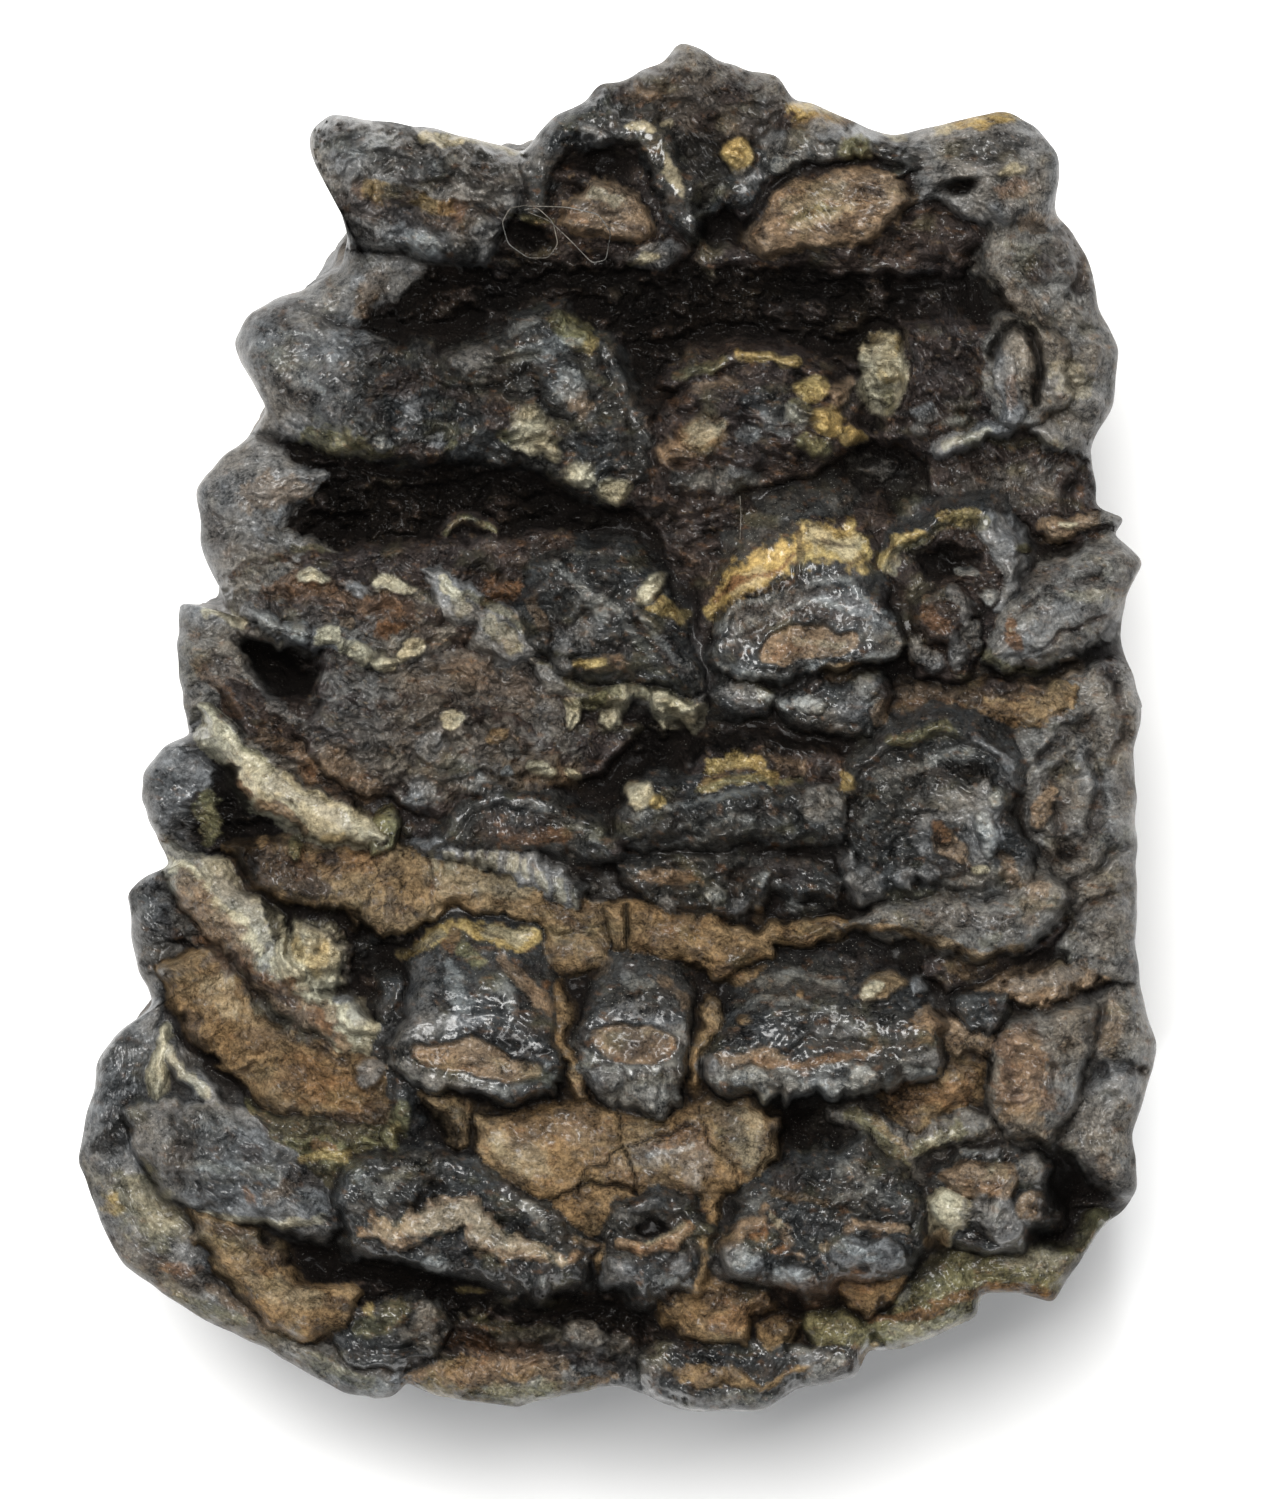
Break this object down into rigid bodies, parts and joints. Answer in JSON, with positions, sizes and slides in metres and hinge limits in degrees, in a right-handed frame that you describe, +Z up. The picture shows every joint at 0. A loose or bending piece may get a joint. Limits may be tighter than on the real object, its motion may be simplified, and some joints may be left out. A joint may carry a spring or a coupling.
{
  "type": "fossil mammoth molar",
  "caption": "Worn fossil molar crown with leaning transverse enamel plates, dentine and cement, lying on its root side with the chewing face up.",
  "frame": {"origin": "centre of the bounding box, at the flat spot on the root side that the tooth rests on", "axes": "+Z up out of the chewing face, +Y along the tooth towards its broken back end, away from the side that the plates lean to, +X across the plates"},
  "size_m": [0.0896, 0.1142, 0.06],
  "materials": {
    "fossil_tooth": "dark glossy ribbed enamel, brown dentine and matte tan cement"
  },
  "bodies": {
    "root": {"molar": "fossil_tooth"}
  },
  "joints": []
}
